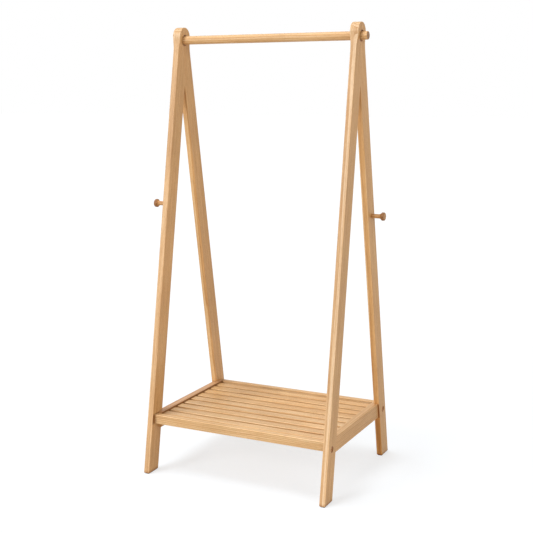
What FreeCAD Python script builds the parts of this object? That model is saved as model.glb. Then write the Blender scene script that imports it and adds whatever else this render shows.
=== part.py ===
import FreeCAD, Part
import math
import os
import Sketcher

# Clothes rack: two leaning-leg side frames, a turning hanging rail and a slatted shelf
# Millimetres, +Z up, the floor at z = 0, the rail along X, the front towards -Y

doc = FreeCAD.newDocument("clothes_rack")
sheet = doc.addObject("Spreadsheet::Sheet", "Sizes")


# A size that keeps its number and the sheet formula that it comes from
class Size:
    def __init__(self, value, text):
        self.value = value
        self.text = text

    def __add__(self, other):
        return Size(self.value + number(other), "(%s + %s)" % (self.text, formula(other)))

    def __radd__(self, other):
        return Size(number(other) + self.value, "(%s + %s)" % (formula(other), self.text))

    def __sub__(self, other):
        return Size(self.value - number(other), "(%s - %s)" % (self.text, formula(other)))

    def __rsub__(self, other):
        return Size(number(other) - self.value, "(%s - %s)" % (formula(other), self.text))

    def __mul__(self, other):
        return Size(self.value * number(other), "(%s * %s)" % (self.text, formula(other)))

    def __rmul__(self, other):
        return Size(number(other) * self.value, "(%s * %s)" % (formula(other), self.text))

    def __truediv__(self, other):
        return Size(self.value / number(other), "(%s / %s)" % (self.text, formula(other)))

    def __neg__(self):
        return Size(-self.value, "(0 - %s)" % self.text)


def number(item):
    return item.value if isinstance(item, Size) else item


def formula(item):
    return item.text if isinstance(item, Size) else repr(item)


def root(item):
    return Size(math.sqrt(item.value), "sqrt(%s)" % item.text)


def size(name, value, note):
    row = str(size.next_row)
    sheet.set("A" + row, name)
    sheet.set("B" + row, str(value))
    sheet.set("C" + row, note)
    sheet.setAlias("B" + row, name)
    size.next_row = size.next_row + 1
    return Size(float(value), "Sizes." + name)


size.next_row = 1

# Side frames
frame_width = size("frame_width", 648, "outer face to outer face of the two side frames")
leg_thickness = size("leg_thickness", 19.5, "leg board along X")
leg_width = size("leg_width", 55.2, "leg board across its long edges")
foot_half_depth = size("foot_half_depth", 272, "outer edge of a leg from the middle, at the floor")
crown_half_depth = size("crown_half_depth", 30.5, "outer edge of a leg from the middle, at the rail's axis")
leg_edge_round = size("leg_edge_round", 1.2, "round on the long edges of a leg and the rim of its head")
peg_front_height = size("peg_front_height", 873, "peg on the left front leg, above the floor")
peg_rear_height = size("peg_rear_height", 842, "peg on the right rear leg, above the floor")

# Heads at the top of the frames
head_lip = size("head_lip", 0.5, "round head beyond the outer edges of the legs at the rail's axis")
head_rise = size("head_rise", 11, "middle of a round head above the rail's axis")
head_thickness = size("head_thickness", 28.5, "round head along X, at its crown")
head_swell_length = size("head_swell_length", 58, "height of the swell from a leg's face to a head's face")
head_swell_drop = size("head_swell_drop", 11, "middle of the swell below the rail's axis")
neck_round = size("neck_round", 100, "hollow between a head and the outer edge of a leg")
bore_mouth_depth = size("bore_mouth_depth", 9, "flared mouth at both ends of a head's bore, along X")
bore_mouth_flare = size("bore_mouth_flare", 3, "flare of a bore's mouth all round")
head_dowel_diameter = size("head_dowel_diameter", 8, "dowels across the mitre of a frame")
head_dowel_depth = size("head_dowel_depth", 20, "depth of a dowel hole in each leg")
head_dowel_shares = (0.35, 0.7)

# Hanging rail
rail_height = size("rail_height", 1408, "rail axis above the floor")
rail_diameter = size("rail_diameter", 27.5, "rail between the heads")
rail_shoulder = size("rail_shoulder", 0.8, "step from the rail down to the tenon at each end")
rail_left_overhang = size("rail_left_overhang", 10, "rail end beyond the outer face of the left head")
rail_right_overhang = size("rail_right_overhang", 20, "rail end beyond the outer face of the right head")
rail_end_round = size("rail_end_round", 2, "round on a rail end")
rail_shoulder_round = size("rail_shoulder_round", 0.5, "round on a rail shoulder")
rail_clearance = size("rail_clearance", 0.4, "running gap around a tenon in its bore")
rail_end_play = size("rail_end_play", 1, "gap along X between a shoulder and the mouth of its bore")

# Shelf frame
apron_thickness = size("apron_thickness", 22, "apron along Y")
apron_height = size("apron_height", 30, "apron along Z")
apron_bottom = size("apron_bottom", 159.5, "lower face of an apron above the floor")
apron_edge_round = size("apron_edge_round", 2, "round on the long edges of an apron")
side_rail_rise = size("side_rail_rise", 2.5, "top of a side rail above the top of an apron")
side_rail_height = size("side_rail_height", 49.5, "side rail along Z")
side_rail_lap = size("side_rail_lap", 11, "part of a side rail inside the faces of the legs")
lap_length = size("lap_length", 21, "lap of a side rail on a leg, at the middle of the apron's height")
side_rail_setback = size("side_rail_setback", 6, "outer face of a side rail behind that of a leg")
side_rail_edge_round = size("side_rail_edge_round", 2, "round on the long edges of a side rail")
lap_dowel_diameter = size("lap_dowel_diameter", 6, "dowels between a side rail's laps and the legs")
lap_dowel_margin = size("lap_dowel_margin", 12, "lap dowel from the top and bottom of a side rail")
lap_dowel_rail_wall = size("lap_dowel_rail_wall", 3, "wood behind a lap dowel's hole in a side rail")
lap_dowel_leg_wall = size("lap_dowel_leg_wall", 7, "wood behind a lap dowel's hole in a leg")

# Slats and the cleats that carry them
slat_count = 9
slat_width = size("slat_width", 33, "slat along Y")
slat_thickness = size("slat_thickness", 12, "slat along Z")
slat_drop = size("slat_drop", 4, "top of a slat below the top of an apron")
slat_end_gap = size("slat_end_gap", 0.5, "gap between a slat's end and its side rail")
slat_edge_round = size("slat_edge_round", 2.5, "round on the long edges of a slat")
cleat_width = size("cleat_width", 14, "cleat along X")
cleat_height = size("cleat_height", 14, "cleat along Z")
cleat_edge_round = size("cleat_edge_round", 2, "round on the free lower edge of a cleat")
slat_pin_diameter = size("slat_pin_diameter", 5, "pins from the cleats into the slats")
slat_pin_wall = size("slat_pin_wall", 5, "wood over a pin's hole in a slat")

# Fasteners
bolt_diameter = size("bolt_diameter", 6, "bolt shank")
bolt_length = size("bolt_length", 58, "bolt shank below the head")
bolt_head_diameter = size("bolt_head_diameter", 17, "flat bolt head")
bolt_head_thickness = size("bolt_head_thickness", 3, "flat bolt head along the bolt")
bolt_key_width = size("bolt_key_width", 4, "hexagon socket across its flats")
bolt_key_depth = size("bolt_key_depth", 2, "depth of the hexagon socket")
bolt_head_gap = size("bolt_head_gap", 1, "gap around a bolt head in its recess")
bolt_head_sink = size("bolt_head_sink", 1, "bolt head behind the face of its leg")
bolt_drop = size("bolt_drop", 8, "bolt below the middle of an apron")
nut_diameter = size("nut_diameter", 10, "barrel nut")
nut_length = size("nut_length", 13, "barrel nut along Z")
nut_inset = size("nut_inset", 32, "barrel nut from the end of an apron")
bolt_clearance = size("bolt_clearance", 0.3, "gap around a bolt in the wood")
dowel_clearance = size("dowel_clearance", 0.1, "gap around a dowel, a pin or a nut in its hole")
dowel_end_gap = size("dowel_end_gap", 0.5, "gap at a dowel's end")

# Pegs
peg_length = size("peg_length", 46, "peg from the face of its leg")
peg_shank_diameter = size("peg_shank_diameter", 14, "peg shank")
peg_head_diameter = size("peg_head_diameter", 27, "peg head")
peg_head_length = size("peg_head_length", 9, "peg head along the peg, without its flare")
peg_flare_length = size("peg_flare_length", 7, "flare between shank and head")
peg_neck_round = size("peg_neck_round", 9, "hollow between shank and flare")
peg_rim_round = size("peg_rim_round", 4, "round on the outer rim of a peg head")
peg_lip_round = size("peg_lip_round", 2, "round on the inner rim of a peg head")
stud_diameter = size("stud_diameter", 6, "stud that holds a peg")
stud_peg_depth = size("stud_peg_depth", 24, "stud hole in a peg")
stud_leg_wall = size("stud_leg_wall", 5, "wood behind a stud's hole in a leg")

# Feet
pad_thickness = size("pad_thickness", 3, "pad under a leg")
pad_inset = size("pad_inset", 2, "edge of a pad inside the outline of its leg")
pad_edge_round = size("pad_edge_round", 3, "round on the upright corners of a pad")

cut_overrun = size("cut_overrun", 5, "length of a cut beyond the face that it leaves")
match_share = 0.001

doc.recompute()

# Places that follow from the sizes
lean_share = (foot_half_depth - crown_half_depth) / rail_height
leg_level_width = leg_width * root(1 + lean_share * lean_share)
mitre_foot = (leg_level_width - crown_half_depth) / lean_share
head_radius = crown_half_depth + head_lip
frame_middle = (frame_width - leg_thickness) / 2
leg_inner_face = frame_width / 2 - leg_thickness
head_inner_face = frame_middle - head_thickness / 2
head_outer_face = frame_middle + head_thickness / 2
rail_tenon_diameter = rail_diameter - 2 * rail_shoulder
bore_radius = rail_tenon_diameter / 2 + rail_clearance
rail_seat_depth = bore_mouth_depth * (1 - (rail_diameter / 2 - bore_radius) / bore_mouth_flare)
head_dowel_drops = [bore_radius + share * (mitre_foot - bore_radius) for share in head_dowel_shares]
stud_leg_depth = leg_thickness - stud_leg_wall


# Outer and inner edge of a leg from the middle of the rack, at a height above the floor
def outer_edge(height):
    return foot_half_depth - lean_share * height


def inner_edge(height):
    return outer_edge(height) - leg_level_width


# Shelf
apron_middle_height = apron_bottom + apron_height / 2
apron_top = apron_bottom + apron_height
bolt_height = apron_middle_height - bolt_drop
apron_inner_depth = inner_edge(apron_middle_height) + lap_length
apron_middle_depth = apron_inner_depth + apron_thickness / 2
side_rail_top = apron_top + side_rail_rise
side_rail_bottom = side_rail_top - side_rail_height
side_rail_inner_face = leg_inner_face - side_rail_lap
lap_dowel_heights = (side_rail_bottom + lap_dowel_margin, side_rail_top - lap_dowel_margin)
lap_dowel_places = [((apron_inner_depth + inner_edge(height)) / 2, height) for height in lap_dowel_heights]
lap_dowel_rail_depth = side_rail_lap - lap_dowel_rail_wall
lap_dowel_leg_depth = leg_thickness - lap_dowel_leg_wall
slat_bottom = apron_top - slat_drop - slat_thickness
slat_gap = (2 * apron_inner_depth - slat_count * slat_width) / (slat_count + 1)
slat_pitch = slat_width + slat_gap
slat_pin_depth = slat_thickness - slat_pin_wall
cleat_middle = side_rail_inner_face - cleat_width / 2
counterbore_radius = bolt_head_diameter / 2 + bolt_head_gap
counterbore_depth = bolt_head_thickness + bolt_head_sink


def slat_place(index):
    return (index - (slat_count - 1) / 2) * slat_pitch


# Helpers for bodies and sketches
def new_body(label, turned=False):
    body = doc.addObject("PartDesign::Body", label)
    body.Label = label
    if turned:
        body.Placement.Rotation = FreeCAD.Rotation(FreeCAD.Vector(0, 0, 1), 180)
    return body


def put(item, x=0, y=0, z=0):
    for axis, place in (("x", x), ("y", y), ("z", z)):
        if isinstance(place, Size):
            item.setExpression("Placement.Base." + axis, place.text)


def new_sketch(body, name, role, offset=None):
    plane = [item for item in body.Origin.OriginFeatures if item.Role == role][0]
    sketch = body.newObject("Sketcher::SketchObject", name)
    sketch.AttachmentSupport = [(plane, "")]
    sketch.MapMode = "FlatFace"
    if offset is not None:
        sketch.setExpression("AttachmentOffset.Base.z", offset.text)
    doc.recompute()
    return sketch


def pin(sketch, curve, end, point):
    for kind, axis, place in (("DistanceX", -2, point[0]), ("DistanceY", -1, point[1])):
        if isinstance(place, Size):
            index = sketch.addConstraint(Sketcher.Constraint(kind, -1, 1, curve, end, place.value))
            sketch.setExpression("Constraints[%d]" % index, place.text)
        else:
            sketch.addConstraint(Sketcher.Constraint("PointOnObject", curve, end, axis))


def vector(point):
    return FreeCAD.Vector(number(point[0]), number(point[1]), 0)


# A closed outline: corners in order, and arcs as {corner: (radius, centre)} to the next corner
def outline(sketch, corners, arcs=None):
    arcs = arcs or {}
    ends = []
    for index, corner in enumerate(corners):
        start = vector(corner)
        stop = vector(corners[(index + 1) % len(corners)])
        if index not in arcs:
            curve = sketch.addGeometry(Part.LineSegment(start, stop))
            ends.append((curve, 1, 2))
            continue
        radius, centre = arcs[index]
        middle = vector(centre)
        first = math.atan2(start.y - middle.y, start.x - middle.x)
        last = math.atan2(stop.y - middle.y, stop.x - middle.x)
        forward = (last - first) % (2 * math.pi) < math.pi
        angles = (first, last) if forward else (last, first)
        circle = Part.Circle(middle, FreeCAD.Vector(0, 0, 1), radius.value)
        curve = sketch.addGeometry(Part.ArcOfCircle(circle, angles[0], angles[1]))
        ends.append((curve, 1, 2) if forward else (curve, 2, 1))
    for index, corner in enumerate(corners):
        before = ends[index - 1]
        after = ends[index]
        sketch.addConstraint(Sketcher.Constraint("Coincident", before[0], before[2], after[0], after[1]))
        pin(sketch, after[0], after[1], corner)
    for index in arcs:
        at = sketch.addConstraint(Sketcher.Constraint("Radius", ends[index][0], arcs[index][0].value))
        sketch.setExpression("Constraints[%d]" % at, arcs[index][0].text)


def circles(sketch, radius, centres):
    for centre in centres:
        curve = sketch.addGeometry(Part.Circle(vector(centre), FreeCAD.Vector(0, 0, 1), radius.value))
        pin(sketch, curve, 3, centre)
        index = sketch.addConstraint(Sketcher.Constraint("Radius", curve, radius.value))
        sketch.setExpression("Constraints[%d]" % index, radius.text)


def rectangle(sketch, low_x, low_y, high_x, high_y):
    outline(sketch, [(low_x, low_y), (high_x, low_y), (high_x, high_y), (low_x, high_y)])


# A feature from a sketch: a length, both ways if centred, or right through where there is none
def pad(body, sketch, length, centred=False, backwards=False):
    feature = body.newObject("PartDesign::Pad", sketch.Name + "_pad")
    feature.Profile = sketch
    feature.setExpression("Length", length.text)
    feature.SideType = "Symmetric" if centred else "One side"
    feature.Reversed = backwards
    doc.recompute()
    return feature


def cut(body, sketch, depth=None, backwards=False):
    before = body.Shape.Volume
    feature = body.newObject("PartDesign::Pocket", sketch.Name + "_cut")
    feature.Profile = sketch
    if depth is None:
        feature.Type = "ThroughAll"
        feature.SideType = "Symmetric"
    else:
        feature.setExpression("Length", depth.text)
    feature.Reversed = backwards
    doc.recompute()
    if not body.Shape.Volume < before:
        raise RuntimeError(feature.Name + " removes nothing")
    return feature


def turn(body, sketch, kind):
    feature = body.newObject("PartDesign::" + kind, sketch.Name + "_turn")
    feature.Profile = sketch
    feature.ReferenceAxis = (sketch, ["H_Axis"])
    feature.Angle = 360
    doc.recompute()
    return feature


# A round on the edges of the last feature that are wanted
def soften(body, radius, wanted):
    base = body.Tip
    names = ["Edge%d" % (at + 1) for at, edge in enumerate(base.Shape.Edges) if wanted(edge)]
    feature = body.newObject("PartDesign::Fillet", base.Name + "_round")
    feature.Base = (base, names)
    feature.setExpression("Radius", radius.text)
    doc.recompute()
    return feature


def close(first, second):
    return abs(first - second) < match_share * leg_thickness.value


def is_line(edge):
    return edge.Curve.TypeId == "Part::GeomLine"


def runs_along(edge, axis):
    return is_line(edge) and close(abs(getattr(edge.Curve.Direction, axis)), 1)


def is_circle(edge, radius):
    return edge.Curve.TypeId == "Part::GeomCircle" and close(edge.Curve.Radius, radius)


# A leg stands in its own frame: X across the board, the origin on the rail's axis
# Every leg is drawn as a front one, and a rear leg is one turned half way round
def make_leg(label, outer_side, turned, peg_height=None):
    body = new_body(label, turned)
    side = -1 if label.startswith("left") else 1
    put(body, x=side * frame_middle, z=rail_height)
    foot = pad_thickness - rail_height
    foot_depth = outer_edge(pad_thickness)

    # Where the outer edge of the board runs into the round head
    lean_square = 1 + lean_share * lean_share
    across = crown_half_depth * lean_share + head_rise
    reach = crown_half_depth * crown_half_depth + head_rise * head_rise - head_radius * head_radius
    neck = (across - root(across * across - lean_square * reach)) / lean_square
    neck_depth = crown_half_depth - lean_share * neck

    board = new_sketch(body, label + "_board", "YZ_Plane")
    outline(board,
            [(-foot_depth, foot), (leg_level_width - foot_depth, foot), (0, -mitre_foot),
             (0, head_rise + head_radius), (-neck_depth, neck)],
            {3: (head_radius, (0, head_rise))})
    pad(body, board, head_thickness, centred=True)
    soften(body, neck_round,
           lambda edge: is_line(edge) and close(edge.CenterOfMass.y, -neck_depth.value)
           and close(edge.CenterOfMass.z, neck.value) and close(edge.CenterOfMass.x, 0))

    # Both faces of the board are thinned below the head, in a swell of a hollow and a round
    step = (head_thickness - leg_thickness) / 2
    swell_radius = (head_swell_length * head_swell_length + step * step) / (4 * step)
    swell_start = head_swell_drop - head_swell_length / 2
    swell_end = head_swell_drop + head_swell_length / 2
    thin = new_sketch(body, label + "_faces", "XZ_Plane")
    for way in (-1, 1):
        face = way * leg_thickness / 2
        middle = way * (leg_thickness + step) / 2
        cheek = way * head_thickness / 2
        clear = way * (head_thickness / 2 + cut_overrun)
        outline(thin,
                [(cheek, -swell_start), (middle, -head_swell_drop), (face, -swell_end),
                 (face, -rail_height), (clear, -rail_height), (clear, -swell_start)],
                {0: (swell_radius, (way * (head_thickness / 2 - swell_radius), -swell_start)),
                 1: (swell_radius, (way * (leg_thickness / 2 + swell_radius), -swell_end))})
    cut(body, thin)
    soften(body, leg_edge_round,
           lambda edge: not runs_along(edge, "x") and not runs_along(edge, "y")
           and abs(edge.CenterOfMass.y) > leg_edge_round.value)

    # Bore for the rail, half of it in each leg, with a flared mouth at both ends
    bore = new_sketch(body, label + "_bore", "YZ_Plane")
    circles(bore, bore_radius, [(0, 0)])
    cut(body, bore)
    mouth = new_sketch(body, label + "_mouth", "XZ_Plane")
    mouth_radius = bore_radius + bore_mouth_flare * (1 + cut_overrun / bore_mouth_depth)
    for way in (-1, 1):
        throat = way * (head_thickness / 2 - bore_mouth_depth)
        clear = way * (head_thickness / 2 + cut_overrun)
        outline(mouth, [(throat, bore_radius), (clear, mouth_radius), (clear, bore_radius)])
    turn(body, mouth, "Groove")

    # Dowel holes in the mitre
    mitre = new_sketch(body, label + "_mitre", "XZ_Plane")
    circles(mitre, head_dowel_diameter / 2 + dowel_clearance, [(0, -drop) for drop in head_dowel_drops])
    cut(body, mitre, head_dowel_depth, backwards=True)

    # Bolt hole with a recess for the bolt's head in the outer face
    bolt_place = (-apron_middle_depth, bolt_height - rail_height)
    hole = new_sketch(body, label + "_bolt", "YZ_Plane")
    circles(hole, bolt_diameter / 2 + bolt_clearance, [bolt_place])
    cut(body, hole)
    recess = new_sketch(body, label + "_recess", "YZ_Plane", outer_side * leg_thickness / 2)
    circles(recess, counterbore_radius, [bolt_place])
    cut(body, recess, counterbore_depth, backwards=outer_side < 0)

    # Dowel holes for the lap of the side rail in the inner face
    lap = new_sketch(body, label + "_lap", "YZ_Plane", -outer_side * leg_thickness / 2)
    circles(lap, lap_dowel_diameter / 2 + dowel_clearance,
            [(-depth, height - rail_height) for depth, height in lap_dowel_places])
    cut(body, lap, lap_dowel_leg_depth, backwards=outer_side > 0)

    # Hole for the stud of a peg in the outer face
    if peg_height is not None:
        peg_depth = outer_edge(peg_height) - leg_level_width / 2
        stud = new_sketch(body, label + "_stud", "YZ_Plane", outer_side * leg_thickness / 2)
        circles(stud, stud_diameter / 2 + dowel_clearance, [(-peg_depth, peg_height - rail_height)])
        cut(body, stud, stud_leg_depth, backwards=outer_side < 0)
    return body


# The rail is turned about X, with a shouldered tenon at each end
# Its shoulders reach into the flared mouths of the bores
def make_rail(label):
    body = new_body(label)
    put(body, z=rail_height)
    shoulder = head_inner_face + rail_seat_depth - rail_end_play
    left_tip = -(head_outer_face + rail_left_overhang)
    right_tip = head_outer_face + rail_right_overhang
    thick = rail_diameter / 2
    thin = rail_tenon_diameter / 2
    profile = new_sketch(body, label + "_profile", "XZ_Plane")
    outline(profile, [(left_tip, 0), (left_tip, thin), (-shoulder, thin), (-shoulder, thick),
                      (shoulder, thick), (shoulder, thin), (right_tip, thin), (right_tip, 0)])
    turn(body, profile, "Revolution")
    soften(body, rail_end_round,
           lambda edge: is_circle(edge, thin.value) and abs(edge.CenterOfMass.x) > head_outer_face.value)
    soften(body, rail_shoulder_round,
           lambda edge: is_circle(edge, thick.value) and close(abs(edge.CenterOfMass.x), shoulder.value))
    return body


# A side rail is lapped: its inner part runs along the legs' inner faces to the aprons
# Its outer part fits between the legs, with shoulders that follow their edges
def make_side_rail(label, turned):
    body = new_body(label, turned)
    side = -1 if turned else 1
    put(body, x=side * leg_inner_face)
    low_depth = inner_edge(side_rail_bottom)
    high_depth = inner_edge(side_rail_top)
    inner = new_sketch(body, label + "_inner", "YZ_Plane")
    rectangle(inner, -apron_inner_depth, side_rail_bottom, apron_inner_depth, side_rail_top)
    pad(body, inner, side_rail_lap, backwards=True)
    outer = new_sketch(body, label + "_outer", "YZ_Plane")
    outline(outer, [(-low_depth, side_rail_bottom), (low_depth, side_rail_bottom),
                    (high_depth, side_rail_top), (-high_depth, side_rail_top)])
    pad(body, outer, leg_thickness - side_rail_setback)
    long_edge = apron_inner_depth.value
    soften(body, side_rail_edge_round,
           lambda edge: runs_along(edge, "y") and edge.Length > long_edge
           and not close(edge.CenterOfMass.x, 0))
    holes = new_sketch(body, label + "_holes", "YZ_Plane")
    circles(holes, lap_dowel_diameter / 2 + dowel_clearance,
            [(way * depth, height) for way in (-1, 1) for depth, height in lap_dowel_places])
    cut(body, holes, lap_dowel_rail_depth)
    return body


# An apron spans the legs' inner faces, bored at each end for a bolt and its barrel nut
def make_apron(label, turned):
    body = new_body(label, turned)
    side = 1 if turned else -1
    put(body, y=side * apron_middle_depth, z=apron_middle_height)
    bar = new_sketch(body, label + "_bar", "YZ_Plane")
    rectangle(bar, -apron_thickness / 2, -apron_height / 2, apron_thickness / 2, apron_height / 2)
    pad(body, bar, 2 * leg_inner_face, centred=True)
    long_edge = leg_inner_face.value
    soften(body, apron_edge_round, lambda edge: is_line(edge) and edge.Length > long_edge)
    reach = bolt_length - (leg_thickness - counterbore_depth) + dowel_end_gap
    for way, name in ((-1, "_left_bolt"), (1, "_right_bolt")):
        hole = new_sketch(body, label + name, "YZ_Plane", way * leg_inner_face)
        circles(hole, bolt_diameter / 2 + bolt_clearance, [(0, -bolt_drop)])
        cut(body, hole, reach, backwards=way < 0)
    nuts = new_sketch(body, label + "_nuts", "XY_Plane", -apron_height / 2)
    circles(nuts, nut_diameter / 2 + dowel_clearance,
            [(way * (leg_inner_face - nut_inset), 0) for way in (-1, 1)])
    cut(body, nuts, apron_height / 2 - bolt_drop + nut_length / 2, backwards=True)
    return body


# A slat lies on the two cleats, with a pin hole over each
def make_slat(label, index):
    body = new_body(label)
    place = slat_place(index)
    put(body, y=place, z=slat_bottom)
    bar = new_sketch(body, label + "_bar", "YZ_Plane")
    rectangle(bar, -slat_width / 2, 0, slat_width / 2, slat_thickness)
    pad(body, bar, 2 * (side_rail_inner_face - slat_end_gap), centred=True)
    long_edge = side_rail_inner_face.value
    soften(body, slat_edge_round, lambda edge: is_line(edge) and edge.Length > long_edge)
    holes = new_sketch(body, label + "_holes", "XY_Plane")
    circles(holes, slat_pin_diameter / 2 + dowel_clearance, [(-cleat_middle, 0), (cleat_middle, 0)])
    cut(body, holes, slat_pin_depth, backwards=True)
    return body


# A cleat runs along the inner face of a side rail, under the slats' ends
def make_cleat(label, side):
    body = new_body(label)
    put(body, x=side * cleat_middle, z=slat_bottom)
    bar = new_sketch(body, label + "_bar", "XZ_Plane")
    rectangle(bar, -cleat_width / 2, -cleat_height, cleat_width / 2, 0)
    pad(body, bar, 2 * apron_inner_depth, centred=True)
    long_edge = apron_inner_depth.value
    soften(body, cleat_edge_round,
           lambda edge: is_line(edge) and edge.Length > long_edge
           and close(edge.CenterOfMass.z, -cleat_height.value)
           and close(edge.CenterOfMass.x, -side * cleat_width.value / 2))
    holes = new_sketch(body, label + "_holes", "XY_Plane")
    circles(holes, slat_pin_diameter / 2 + dowel_clearance,
            [(0, slat_place(index)) for index in range(slat_count)])
    cut(body, holes)
    return body


# A peg is turned about X, hollow at its root for the stud
def make_peg(label, turned, peg_height):
    body = new_body(label, turned)
    side = -1 if turned else 1
    depth = outer_edge(peg_height) - leg_level_width / 2
    put(body, x=side * frame_width / 2, y=side * depth, z=peg_height)
    shank = peg_shank_diameter / 2
    head = peg_head_diameter / 2
    bore = stud_diameter / 2 + dowel_clearance
    lip = peg_length - peg_head_length
    neck = lip - peg_flare_length
    profile = new_sketch(body, label + "_profile", "XZ_Plane")
    outline(profile, [(0, bore), (0, shank), (neck, shank), (lip, head), (peg_length, head),
                      (peg_length, 0), (stud_peg_depth, 0), (stud_peg_depth, bore)])
    turn(body, profile, "Revolution")
    soften(body, peg_neck_round,
           lambda edge: is_circle(edge, shank.value) and close(edge.CenterOfMass.x, neck.value))
    soften(body, peg_lip_round,
           lambda edge: is_circle(edge, head.value) and close(edge.CenterOfMass.x, lip.value))
    soften(body, peg_rim_round,
           lambda edge: is_circle(edge, head.value) and close(edge.CenterOfMass.x, peg_length.value))
    return body


# A pad covers the foot of a leg, inside its outline
def make_pad(label, turned):
    body = new_body(label, turned)
    side = -1 if label.startswith("left") else 1
    put(body, x=side * frame_middle)
    near = outer_edge(pad_thickness) - pad_inset
    base = new_sketch(body, label + "_base", "XY_Plane")
    rectangle(base, -(leg_thickness / 2 - pad_inset), -near,
              leg_thickness / 2 - pad_inset, leg_level_width - 2 * pad_inset - near)
    pad(body, base, pad_thickness)
    soften(body, pad_edge_round,
           lambda edge: runs_along(edge, "z"))
    return body


# Plain round pieces that come in numbers: a master in place, its mirror images, one group
def rod(name, radius, length, axis, x=0, y=0, z=0):
    item = doc.addObject("Part::Cylinder", name)
    item.setExpression("Radius", radius.text)
    item.setExpression("Height", length.text)
    if axis == "X":
        item.Placement.Rotation = FreeCAD.Rotation(FreeCAD.Vector(0, 1, 0), 90)
    if axis == "Y":
        item.Placement.Rotation = FreeCAD.Rotation(FreeCAD.Vector(1, 0, 0), -90)
    put(item, x, y, z)
    return item


def group(label, items):
    compound = doc.addObject("Part::Compound", label)
    compound.Links = items
    compound.Label = label
    doc.recompute()
    return compound


def mirrored(name, source, normal):
    item = doc.addObject("Part::Mirroring", name)
    item.Source = source
    item.Normal = normal
    doc.recompute()
    return item


# The same piece at all four corners of the rack
def at_four_corners(label, master):
    across = mirrored(label + "_across", master, FreeCAD.Vector(1, 0, 0))
    pair = group(label + "_pair", [master, across])
    behind = mirrored(label + "_behind", pair, FreeCAD.Vector(0, 1, 0))
    doc.recompute()
    return group(label, [pair, behind])


def make_head_dowels(label):
    half = head_dowel_depth - dowel_end_gap
    masters = [rod(label + name, head_dowel_diameter / 2, 2 * half, "Y",
                   frame_middle, -half, rail_height - drop)
               for name, drop in zip(("_high", "_low"), head_dowel_drops)]
    pair = group(label + "_pair", masters)
    return group(label, [pair, mirrored(label + "_across", pair, FreeCAD.Vector(1, 0, 0))])


def make_lap_dowels(label):
    start = leg_inner_face - lap_dowel_rail_depth + dowel_end_gap
    length = lap_dowel_rail_depth + lap_dowel_leg_depth - 2 * dowel_end_gap
    masters = [rod(label + name, lap_dowel_diameter / 2, length, "X", start, depth, height)
               for name, (depth, height) in zip(("_low", "_high"), lap_dowel_places)]
    return at_four_corners(label, group(label + "_corner", masters))


def make_slat_pins(label):
    length = cleat_height + slat_pin_depth - 2 * dowel_end_gap
    start = slat_bottom - cleat_height + dowel_end_gap
    masters = [rod("%s_%d" % (label, index + 1), slat_pin_diameter / 2, length, "Z",
                   cleat_middle, slat_place(index), start) for index in range(slat_count)]
    row = group(label + "_row", masters)
    return group(label, [row, mirrored(label + "_across", row, FreeCAD.Vector(1, 0, 0))])


# Bolts with a flat head and a hexagon socket, through the legs into the aprons
def make_bolts(label):
    seat = frame_width / 2 - counterbore_depth
    place = {"y": apron_middle_depth, "z": bolt_height}
    shank = rod(label + "_shank", bolt_diameter / 2, bolt_length, "X", seat - bolt_length, **place)
    head = rod(label + "_head", bolt_head_diameter / 2, bolt_head_thickness, "X", seat, **place)
    whole = doc.addObject("Part::Fuse", label + "_whole")
    whole.Base = head
    whole.Tool = shank
    key = doc.addObject("Part::Prism", label + "_key")
    key.Polygon = 6
    key.setExpression("Circumradius", (bolt_key_width / root(Size(3, "3"))).text)
    key.setExpression("Height", (bolt_key_depth + cut_overrun).text)
    key.Placement.Rotation = FreeCAD.Rotation(FreeCAD.Vector(0, 1, 0), 90)
    put(key, seat + bolt_head_thickness - bolt_key_depth, **place)
    bolt = doc.addObject("Part::Cut", label + "_bolt")
    bolt.Base = whole
    bolt.Tool = key
    doc.recompute()
    return at_four_corners(label, bolt)


def make_nuts(label):
    place = {"x": leg_inner_face - nut_inset, "y": apron_middle_depth}
    start = bolt_height - nut_length / 2
    barrel = rod(label + "_barrel", nut_diameter / 2, nut_length, "Z", z=start, **place)
    hole = rod(label + "_hole", bolt_diameter / 2 + dowel_clearance, 2 * nut_diameter, "X",
               leg_inner_face - nut_inset - nut_diameter, apron_middle_depth, bolt_height)
    nut = doc.addObject("Part::Cut", label + "_nut")
    nut.Base = barrel
    nut.Tool = hole
    doc.recompute()
    return at_four_corners(label, nut)


def make_studs(label):
    length = stud_peg_depth + stud_leg_depth - 2 * dowel_end_gap
    items = []
    for name, side, peg_height in (("_left", -1, peg_front_height), ("_right", 1, peg_rear_height)):
        depth = outer_edge(peg_height) - leg_level_width / 2
        near = frame_width / 2 - stud_leg_depth + dowel_end_gap
        start = near if side > 0 else -near - length
        items.append(rod(label + name, stud_diameter / 2, length, "X", start, side * depth, peg_height))
    return group(label, items)


nodes = [
    make_leg("left_front_leg", -1, False, peg_front_height),
    make_leg("left_rear_leg", 1, True),
    make_leg("right_front_leg", 1, False),
    make_leg("right_rear_leg", -1, True, peg_rear_height),
    make_head_dowels("head_dowels"),
    make_rail("hanging_rail"),
    make_side_rail("left_side_rail", True),
    make_side_rail("right_side_rail", False),
    make_lap_dowels("lap_dowels"),
    make_apron("front_apron", False),
    make_apron("rear_apron", True),
    make_cleat("left_cleat", -1),
    make_cleat("right_cleat", 1),
    make_slat_pins("slat_pins"),
    make_bolts("apron_bolts"),
    make_nuts("barrel_nuts"),
    make_peg("left_peg", True, peg_front_height),
    make_peg("right_peg", False, peg_rear_height),
    make_studs("peg_studs"),
    make_pad("left_front_pad", False),
    make_pad("left_rear_pad", True),
    make_pad("right_front_pad", False),
    make_pad("right_rear_pad", True),
]
for slat in range(slat_count):
    nodes.append(make_slat("slat_%d" % (slat + 1), slat))

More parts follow.
